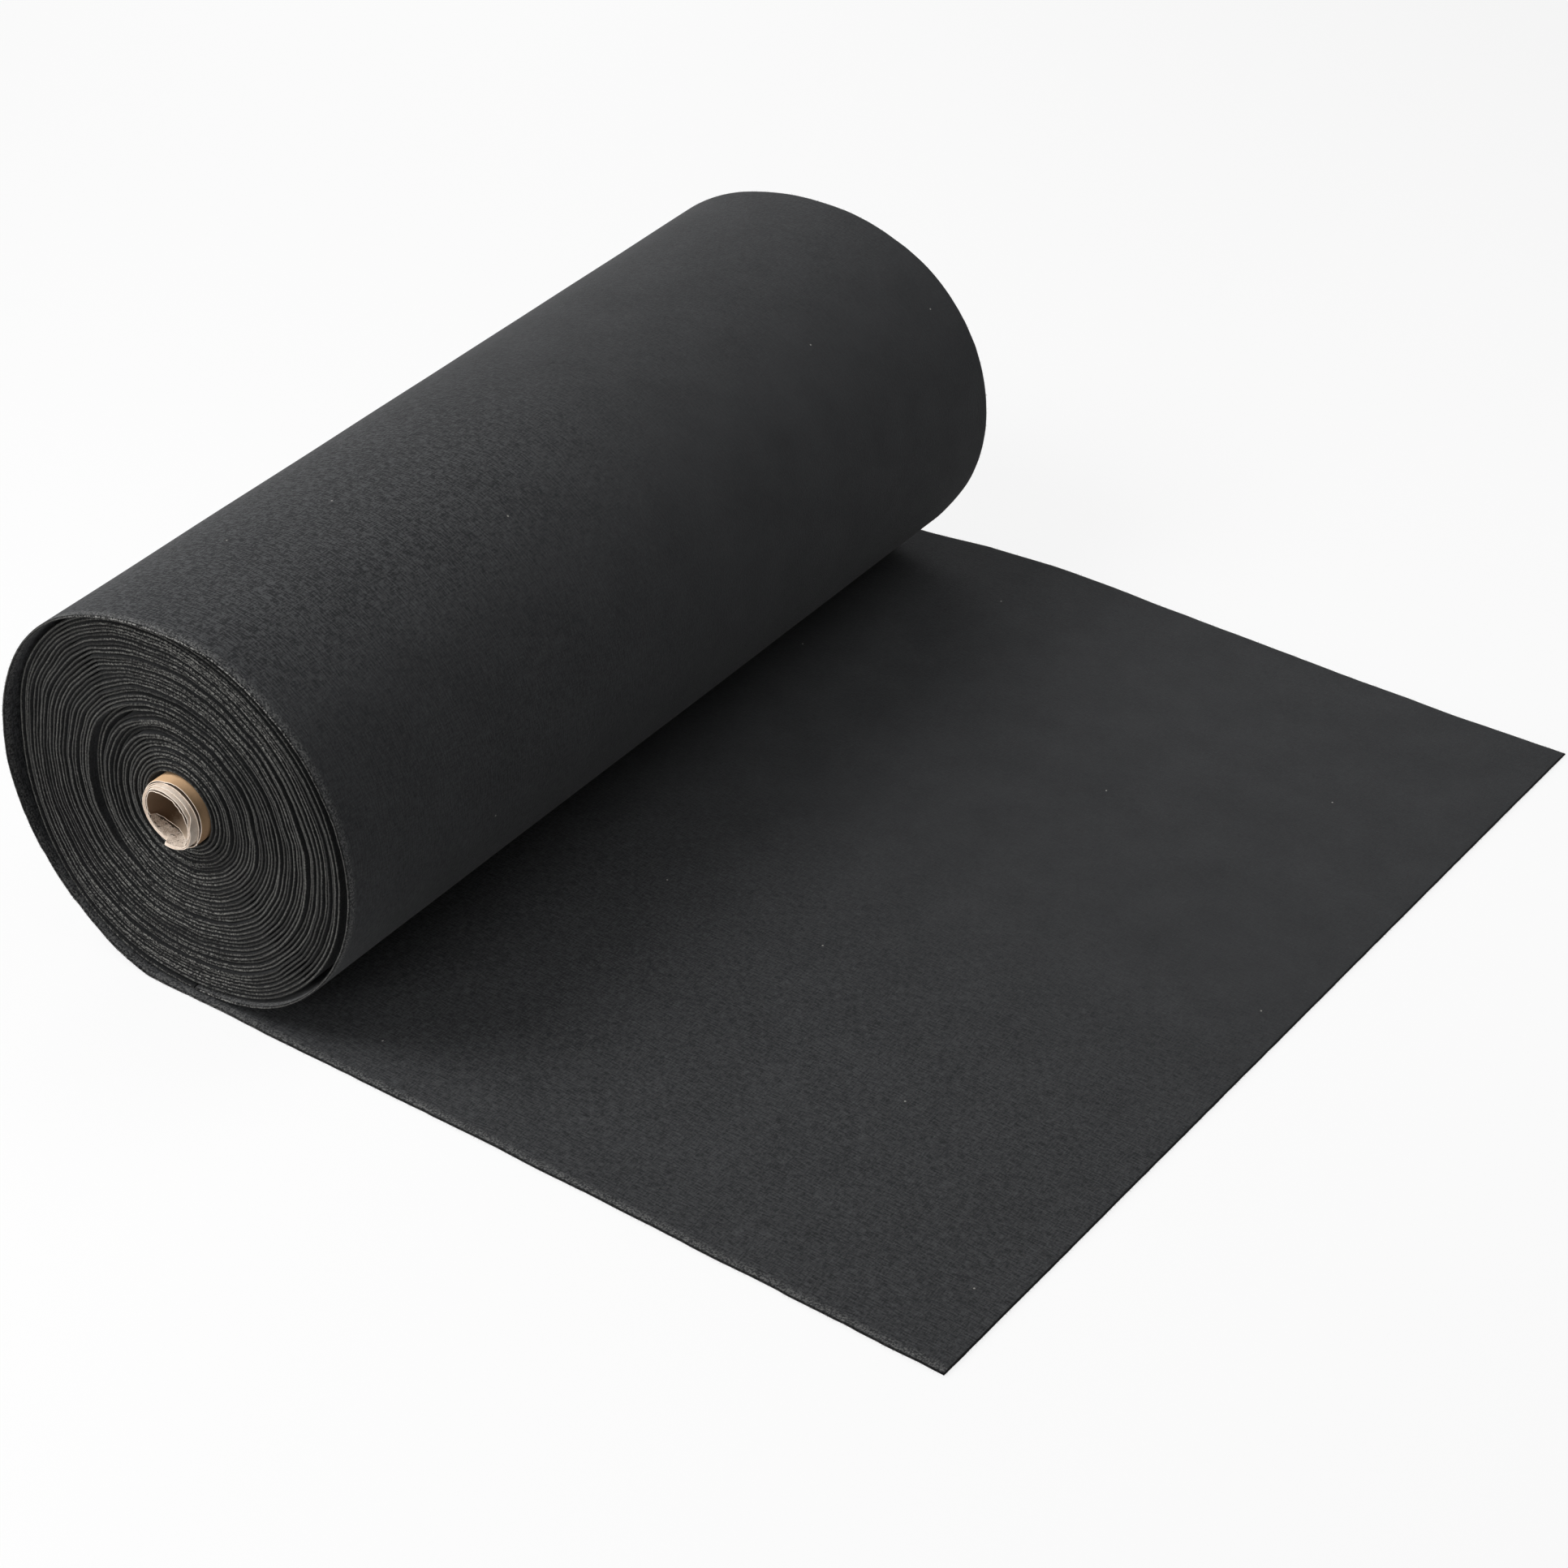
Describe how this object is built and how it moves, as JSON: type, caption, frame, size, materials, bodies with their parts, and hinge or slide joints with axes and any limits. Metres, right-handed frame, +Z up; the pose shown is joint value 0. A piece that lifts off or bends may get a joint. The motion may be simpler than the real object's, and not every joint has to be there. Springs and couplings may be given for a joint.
{
  "type": "geotextile roll",
  "caption": "Roll of black nonwoven geotextile felt on a paper core, lying on the ground with its loose outer turn coming off underneath and its free end laid out flat",
  "frame": {"origin": "On the ground under the roll's axis, at the middle of the web's width where it touches down", "axes": "+X along the laid sheet towards its free end, +Y along the roll from its near end to its far end, +Z up"},
  "size_m": [1.0435, 1.0327, 0.3627],
  "materials": {
    "felt": "matt black needled felt with short fuzz",
    "core_paper": "matt, fibrous at the cut end",
    "kraft_wrap": "smooth kraft paper",
    "tape": "smooth"
  },
  "bodies": {
    "laid_web": {"laid_sheet": "felt"},
    "loose_turn": {"outer_turn": "felt"},
    "wound_roll": {"wound_web": "felt", "core_liner_ply": "core_paper", "core_body_ply_1": "core_paper", "core_body_ply_2": "core_paper", "core_body_ply_3": "core_paper", "core_wrap_ply": "kraft_wrap", "start_tape": "tape"}
  },
  "joints": [
    {"name": "roll_travel", "type": "slide", "parent": "laid_web", "child": "loose_turn", "axis": [1, 0, 0], "range_m": [0, 0.7]},
    {"name": "roll_spin", "type": "hinge", "parent": "loose_turn", "child": "wound_roll", "pos_m": [0, 0, 0.1811], "axis": [0, 1, 0], "range_deg": [0, 229]}
  ],
  "couplings": [
    {"joint": "roll_spin", "follows": "roll_travel", "rad_per_m": 5.698}
  ]
}
